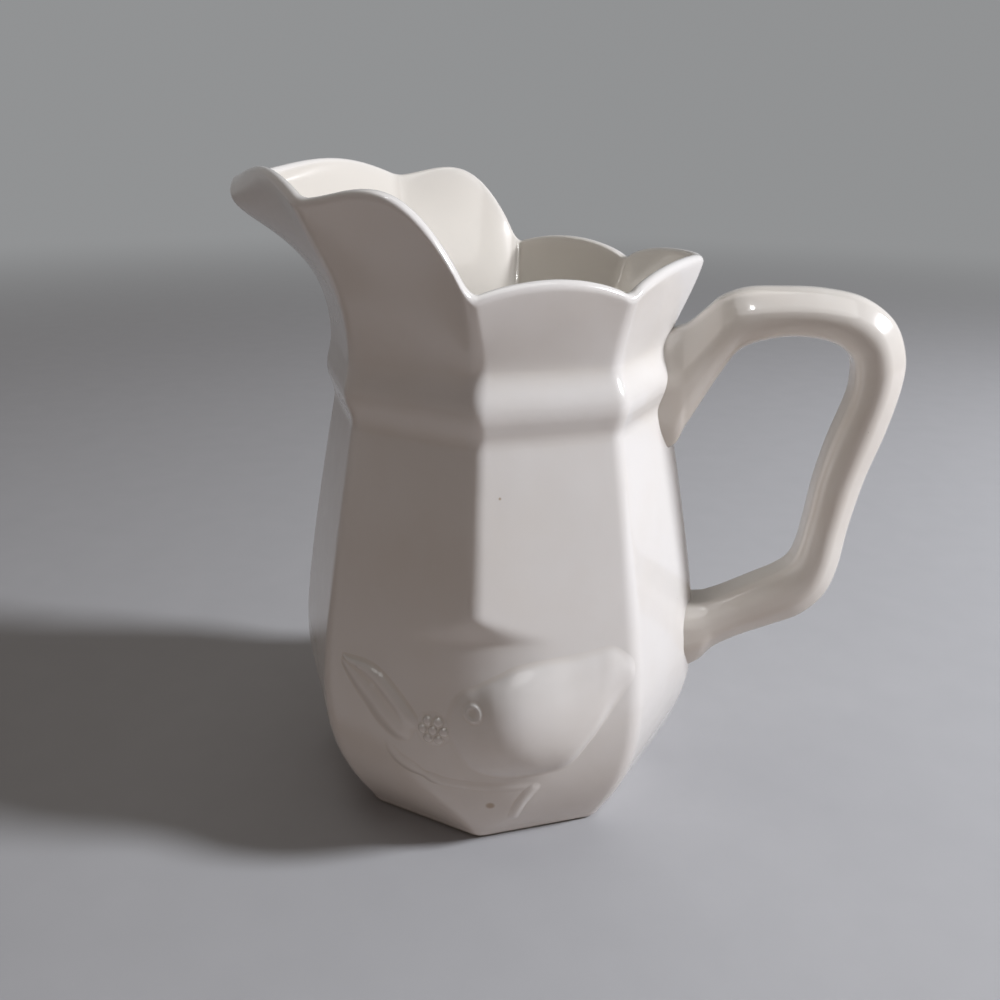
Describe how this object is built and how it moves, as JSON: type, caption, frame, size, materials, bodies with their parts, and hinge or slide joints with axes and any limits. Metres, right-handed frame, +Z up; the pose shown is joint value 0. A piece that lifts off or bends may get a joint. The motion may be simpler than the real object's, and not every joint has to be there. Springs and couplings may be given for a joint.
{
  "type": "pitcher",
  "caption": "Faceted white glazed pitcher with a scalloped flaring collar, swept spout, angular loop handle and a raised bird and berry branch on the belly.",
  "frame": {"origin": "on the surface that the pitcher stands on, under the middle of its whole outline", "axes": "+X from the body towards the handle, so the spout points to -X; +Z up; +Y square to both, with the pictured side at -Y. The body's own axis is the vertical line at x = -17.9 mm"},
  "size_m": [0.1822, 0.1194, 0.178],
  "materials": {
    "body_glaze": "glossy clear-over-white glaze on a pale stoneware body, the foot ring's underside wiped bare",
    "handle_glaze": "the same glossy white glaze, thinner on the bevels",
    "relief_glaze": "the same glossy white glaze, pooled round the relief so that its edges are soft"
  },
  "bodies": {
    "root": {"body": "body_glaze", "handle": "handle_glaze", "bird_left": "relief_glaze", "bird_right": "relief_glaze", "leaf_left": "relief_glaze", "leaf_right": "relief_glaze", "stem_left": "relief_glaze", "stem_right": "relief_glaze", "twig_left": "relief_glaze", "twig_right": "relief_glaze", "berries_left": "relief_glaze", "berries_right": "relief_glaze"}
  },
  "joints": []
}
